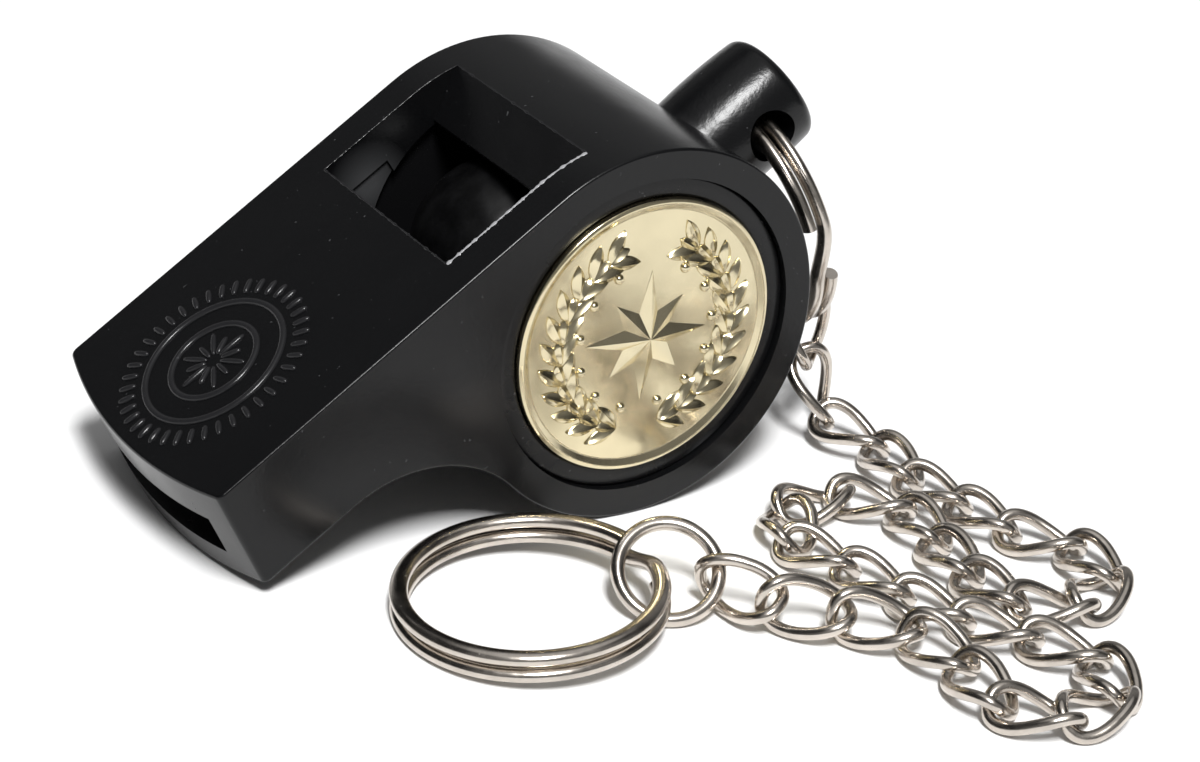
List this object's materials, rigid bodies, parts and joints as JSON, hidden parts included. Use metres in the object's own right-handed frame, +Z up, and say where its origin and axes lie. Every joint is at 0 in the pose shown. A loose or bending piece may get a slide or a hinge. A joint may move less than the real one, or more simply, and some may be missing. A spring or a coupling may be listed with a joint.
{
  "type": "whistle",
  "caption": "Moulded pea whistle with a flat mouthpiece, round chamber and gold side medallion, on a twisted-link chain with split rings.",
  "frame": {"origin": "on the table, under the middle of the outline of the whistle with its chain", "axes": "+Z up from the table, +X from the mouth towards the lug, -Y towards the side with the medallion"},
  "size_m": [0.0578, 0.058, 0.027],
  "materials": {
    "body_plastic": "moulded, satin gloss",
    "cap_plastic": "moulded, satin",
    "medallion_metal": "pale gold plate, soft sheen",
    "pea_plastic": "matt",
    "chain_metal": "bright nickel plate"
  },
  "bodies": {
    "whistle": {"whistle_body": "body_plastic", "side_cap_near": "cap_plastic", "side_cap_far": "cap_plastic", "medallion": "medallion_metal"},
    "pea": {"pea": "pea_plastic"},
    "lug_ring": {"lug_ring": "chain_metal"},
    "chain_link_01": {"chain_link_01": "chain_metal"},
    "chain_link_02": {"chain_link_02": "chain_metal"},
    "chain_link_03": {"chain_link_03": "chain_metal"},
    "chain_link_04": {"chain_link_04": "chain_metal"},
    "chain_link_05": {"chain_link_05": "chain_metal"},
    "chain_link_06": {"chain_link_06": "chain_metal"},
    "chain_link_07": {"chain_link_07": "chain_metal"},
    "chain_link_08": {"chain_link_08": "chain_metal"},
    "chain_link_09": {"chain_link_09": "chain_metal"},
    "chain_link_10": {"chain_link_10": "chain_metal"},
    "chain_link_11": {"chain_link_11": "chain_metal"},
    "chain_link_12": {"chain_link_12": "chain_metal"},
    "chain_link_13": {"chain_link_13": "chain_metal"},
    "chain_link_14": {"chain_link_14": "chain_metal"},
    "chain_link_15": {"chain_link_15": "chain_metal"},
    "chain_link_16": {"chain_link_16": "chain_metal"},
    "chain_link_17": {"chain_link_17": "chain_metal"},
    "chain_link_18": {"chain_link_18": "chain_metal"},
    "chain_link_19": {"chain_link_19": "chain_metal"},
    "chain_link_20": {"chain_link_20": "chain_metal"},
    "chain_link_21": {"chain_link_21": "chain_metal"},
    "chain_link_22": {"chain_link_22": "chain_metal"},
    "chain_link_23": {"chain_link_23": "chain_metal"},
    "chain_link_24": {"chain_link_24": "chain_metal"},
    "chain_link_25": {"chain_link_25": "chain_metal"},
    "chain_link_26": {"chain_link_26": "chain_metal"},
    "chain_link_27": {"chain_link_27": "chain_metal"},
    "chain_link_28": {"chain_link_28": "chain_metal"},
    "chain_link_29": {"chain_link_29": "chain_metal"},
    "round_link": {"round_link": "chain_metal"},
    "key_ring": {"key_ring": "chain_metal"}
  },
  "joints": [
    {"name": "pea_roll", "type": "hinge", "parent": "whistle", "child": "pea", "pos_m": [0.00316, 0.01802, 0.0131], "axis": [0, 1, 0], "continuous": true},
    {"name": "lug_ring_swing", "type": "hinge", "parent": "whistle", "child": "lug_ring", "pos_m": [0.01683, 0.01802, 0.02255], "axis": [0, -1, 0], "range_deg": [-6, 220]},
    {"name": "link_01_swing", "type": "hinge", "parent": "lug_ring", "child": "chain_link_01", "pos_m": [0.02105, 0.01344, 0.00873], "axis": [0.1635, 0.829, -0.5348], "range_deg": [-25, 5]},
    {"name": "link_02_swing", "type": "hinge", "parent": "chain_link_01", "child": "chain_link_02", "pos_m": [0.02071, 0.01218, 0.00604], "axis": [0.8829, 0.4695, 0], "range_deg": [-10, 10]},
    {"name": "link_03_swing", "type": "hinge", "parent": "chain_link_02", "child": "chain_link_03", "pos_m": [0.02163, 0.01044, 0.00198], "axis": [-0.9272, -0.3746, 0], "range_deg": [-30, 8]},
    {"name": "link_04_swing", "type": "hinge", "parent": "chain_link_03", "child": "chain_link_04", "pos_m": [0.0233, 0.00633, 0.00125], "axis": [0.9877, -0.1564, 0], "range_deg": [-12, 30]},
    {"name": "link_05_swing", "type": "hinge", "parent": "chain_link_04", "child": "chain_link_05", "pos_m": [0.02259, 0.00188, 0.00112], "axis": [-0.9744, -0.225, 0], "range_deg": [-30, 30]},
    {"name": "link_06_swing", "type": "hinge", "parent": "chain_link_05", "child": "chain_link_06", "pos_m": [0.02361, -0.0025, 0.00112], "axis": [0.9903, 0.1392, 0], "range_deg": [-30, 30]},
    {"name": "link_07_swing", "type": "hinge", "parent": "chain_link_06", "child": "chain_link_07", "pos_m": [0.02423, -0.00696, 0.00112], "axis": [-0.7771, -0.6293, 0], "range_deg": [-30, 30]},
    {"name": "link_08_swing", "type": "hinge", "parent": "chain_link_07", "child": "chain_link_08", "pos_m": [0.02706, -0.01046, 0.00112], "axis": [0.9903, -0.1392, 0], "range_deg": [-10, 10]},
    {"name": "link_09_swing", "type": "hinge", "parent": "chain_link_08", "child": "chain_link_09", "pos_m": [0.02644, -0.01491, 0.00112], "axis": [-0.4695, 0.8829, 0], "range_deg": [-10, 10]},
    {"name": "link_10_swing", "type": "hinge", "parent": "chain_link_09", "child": "chain_link_10", "pos_m": [0.02246, -0.01702, 0.00112], "axis": [-0.4695, -0.8829, 0], "range_deg": [-10, 10]},
    {"name": "link_11_swing", "type": "hinge", "parent": "chain_link_10", "child": "chain_link_11", "pos_m": [0.01849, -0.01491, 0.00112], "axis": [0.9945, 0.1045, 0], "range_deg": [-10, 10]},
    {"name": "link_12_swing", "type": "hinge", "parent": "chain_link_11", "child": "chain_link_12", "pos_m": [0.01802, -0.01044, 0.00112], "axis": [-0.9848, 0.1736, 0], "range_deg": [-30, 30]},
    {"name": "link_13_swing", "type": "hinge", "parent": "chain_link_12", "child": "chain_link_13", "pos_m": [0.0188, -0.006, 0.00112], "axis": [0.9848, -0.1736, 0], "range_deg": [-30, 30]},
    {"name": "link_14_swing", "type": "hinge", "parent": "chain_link_13", "child": "chain_link_14", "pos_m": [0.01958, -0.00157, 0.00112], "axis": [-0.7547, -0.6561, 0], "range_deg": [-10, 10]},
    {"name": "link_15_swing", "type": "hinge", "parent": "chain_link_14", "child": "chain_link_15", "pos_m": [0.01663, 0.00182, 0.00112], "axis": [-0.0349, 0.9994, 0], "range_deg": [-10, 10]},
    {"name": "link_16_swing", "type": "hinge", "parent": "chain_link_15", "child": "chain_link_16", "pos_m": [0.01213, 0.00167, 0.00112], "axis": [0.8387, -0.5446, 0], "range_deg": [-10, 10]},
    {"name": "link_17_swing", "type": "hinge", "parent": "chain_link_16", "child": "chain_link_17", "pos_m": [0.00968, -0.00211, 0.00112], "axis": [-0.9397, -0.342, 0], "range_deg": [-10, 10]},
    {"name": "link_18_swing", "type": "hinge", "parent": "chain_link_17", "child": "chain_link_18", "pos_m": [0.01122, -0.00634, 0.00112], "axis": [0.9659, 0.2588, 0], "range_deg": [-30, 30]},
    {"name": "link_19_swing", "type": "hinge", "parent": "chain_link_18", "child": "chain_link_19", "pos_m": [0.01239, -0.01068, 0.00112], "axis": [-0.9336, -0.3584, 0], "range_deg": [-30, 30]},
    {"name": "link_20_swing", "type": "hinge", "parent": "chain_link_19", "child": "chain_link_20", "pos_m": [0.014, -0.01488, 0.00112], "axis": [0.8192, 0.5736, 0], "range_deg": [-30, 30]},
    {"name": "link_21_swing", "type": "hinge", "parent": "chain_link_20", "child": "chain_link_21", "pos_m": [0.01658, -0.01857, 0.00112], "axis": [-0.848, -0.5299, 0], "range_deg": [-30, 30]},
    {"name": "link_22_swing", "type": "hinge", "parent": "chain_link_21", "child": "chain_link_22", "pos_m": [0.01896, -0.02239, 0.00112], "axis": [0.9135, -0.4067, 0], "range_deg": [-10, 10]},
    {"name": "link_23_swing", "type": "hinge", "parent": "chain_link_22", "child": "chain_link_23", "pos_m": [0.01714, -0.0265, 0.00112], "axis": [-0.1736, 0.9848, 0], "range_deg": [-10, 10]},
    {"name": "link_24_swing", "type": "hinge", "parent": "chain_link_23", "child": "chain_link_24", "pos_m": [0.0127, -0.02728, 0.00112], "axis": [-0.7193, -0.6947, 0], "range_deg": [-10, 10]},
    {"name": "link_25_swing", "type": "hinge", "parent": "chain_link_24", "child": "chain_link_25", "pos_m": [0.00958, -0.02404, 0.00112], "axis": [0.9815, -0.1607, 0.1044], "range_deg": [-10, 10]},
    {"name": "link_26_swing", "type": "hinge", "parent": "chain_link_25", "child": "chain_link_26", "pos_m": [0.01028, -0.0196, 0.00135], "axis": [-0.9574, -0.0869, -0.2753], "range_deg": [-30, 30]},
    {"name": "link_27_swing", "type": "hinge", "parent": "chain_link_26", "child": "chain_link_27", "pos_m": [0.00981, -0.01513, 0.00157], "axis": [0.6087, 0.6165, 0.4994], "range_deg": [-10, 10]},
    {"name": "link_28_swing", "type": "hinge", "parent": "chain_link_27", "child": "chain_link_28", "pos_m": [0.00652, -0.01207, 0.00179], "axis": [-0.441, -0.5046, -0.7422], "range_deg": [-30, 30]},
    {"name": "link_29_swing", "type": "hinge", "parent": "chain_link_28", "child": "chain_link_29", "pos_m": [0.00298, -0.0093, 0.00202], "axis": [0.3829, 0.1443, 0.9124], "range_deg": [-5, 10]},
    {"name": "round_link_swing", "type": "hinge", "parent": "chain_link_29", "child": "round_link", "pos_m": [0.00094, -0.0053, 0.00224], "axis": [-0.4384, -0.8988, 0], "range_deg": [-15, 10]},
    {"name": "key_ring_swing", "type": "hinge", "parent": "round_link", "child": "key_ring", "pos_m": [-0.00229, -0.00393, 0.00254], "axis": [-0.2419, -0.9703, 0], "range_deg": [-10, 25]}
  ]
}
